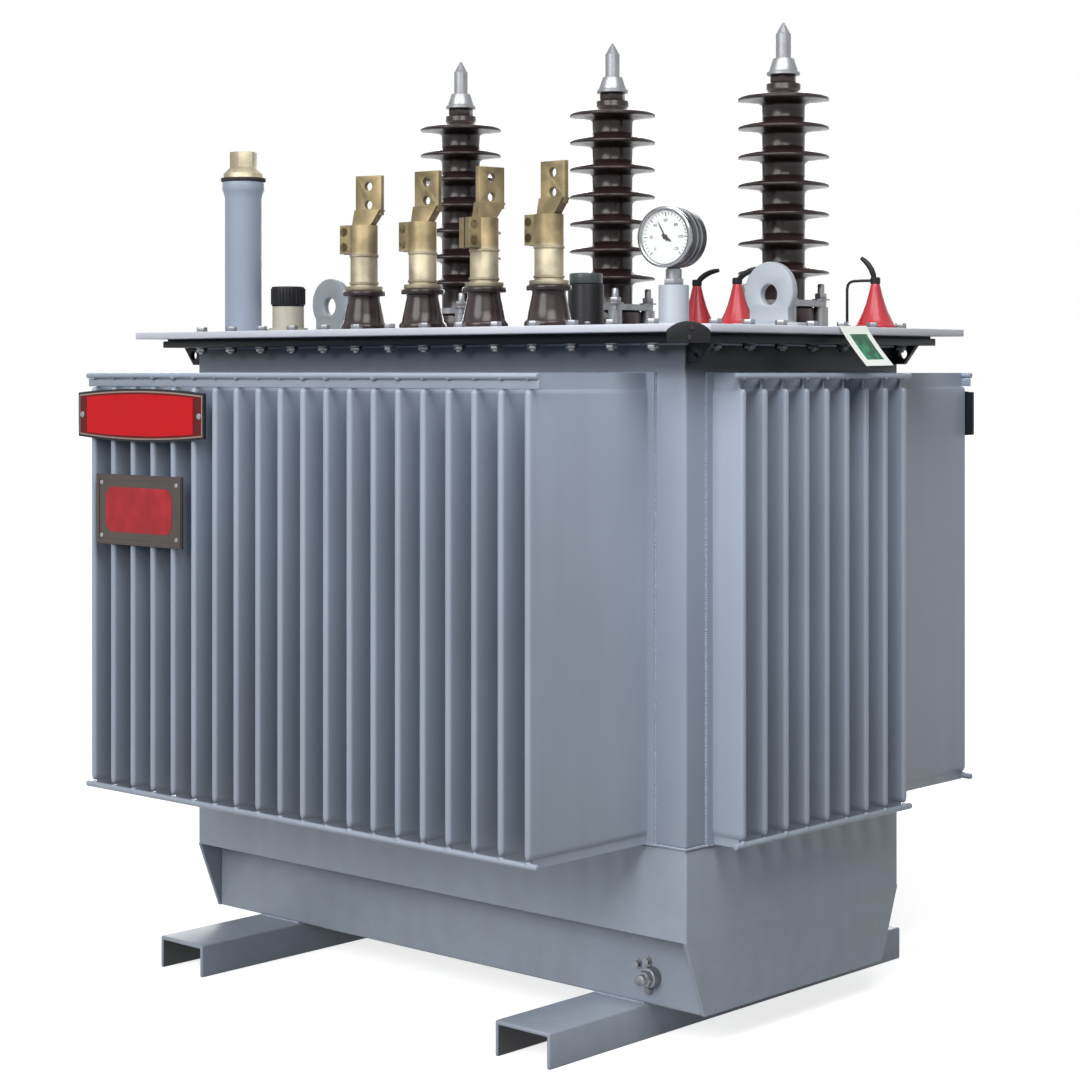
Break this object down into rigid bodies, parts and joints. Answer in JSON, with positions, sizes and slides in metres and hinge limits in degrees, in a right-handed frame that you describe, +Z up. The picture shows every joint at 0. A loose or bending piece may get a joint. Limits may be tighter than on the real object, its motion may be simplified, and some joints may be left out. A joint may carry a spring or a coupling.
{
  "type": "power transformer",
  "caption": "Oil-filled power transformer with corrugated cooling fins, porcelain bushings on its cover and a skid undercarriage.",
  "frame": {"origin": "on the floor, midway between the two skids and under the middle of the tank", "axes": "+Z up, +X along the tank to its right end, -Y to the low-voltage side with the plates"},
  "size_m": [1.0868, 0.9346, 1.3648],
  "materials": {
    "tank_paint": "satin blue-grey paint",
    "rim_paint": "satin dark grey paint",
    "gasket_rubber": "matte black",
    "brown_porcelain": "gloss brown glaze",
    "brass": "satin brass",
    "zinc_steel": "zinc-plated, satin",
    "cream_plastic": "matte cream",
    "black_plastic": "satin black",
    "bright_bezel": "polished",
    "gauge_grey": "satin grey",
    "red_plastic": "gloss red",
    "red_enamel": "gloss red enamel",
    "plate_metal": "satin"
  },
  "bodies": {
    "root": {"left_skid": "tank_paint", "right_skid": "tank_paint", "tank_base": "tank_paint", "base_end_plates": "tank_paint", "tank_body": "tank_paint", "front_fins": "tank_paint", "back_fins": "tank_paint", "left_fins": "tank_paint", "right_fins": "tank_paint", "front_rods": "tank_paint", "back_rods": "tank_paint", "left_rods": "tank_paint", "right_rods": "tank_paint", "tank_rim": "rim_paint", "corner_lugs": "rim_paint", "gasket": "gasket_rubber", "cover_plate": "tank_paint", "corner_bond": "black_plastic", "earth_terminal": "zinc_steel", "left_lifting_eye": "tank_paint", "right_lifting_eye": "tank_paint", "hv_bushing_1": "brown_porcelain", "hv_bushing_2": "brown_porcelain", "hv_bushing_3": "brown_porcelain", "hv_terminal_1": "zinc_steel", "hv_terminal_2": "zinc_steel", "hv_terminal_3": "zinc_steel", "hv_clamps": "zinc_steel", "lv_bushing_1": "brown_porcelain", "lv_bushing_2": "brown_porcelain", "lv_bushing_3": "brown_porcelain", "lv_bushing_4": "brown_porcelain", "lv_terminal_1": "brass", "lv_terminal_2": "brass", "lv_terminal_3": "brass", "lv_terminal_4": "brass", "filler_tube": "tank_paint", "filler_cap": "brass", "test_pocket": "cream_plastic", "test_pocket_cap": "black_plastic", "thermometer_pocket": "cream_plastic", "thermometer_case": "gauge_grey", "thermometer_bezel": "bright_bezel", "tap_changer": "black_plastic", "tap_changer_knob": "gauge_grey", "relief_valve_1": "red_plastic", "relief_valve_2": "red_plastic", "relief_valve_3": "red_plastic", "relief_levers": "black_plastic", "front_oval_plate": "red_enamel", "back_oval_plate": "red_enamel", "rating_plate": "plate_metal"}
  },
  "joints": []
}
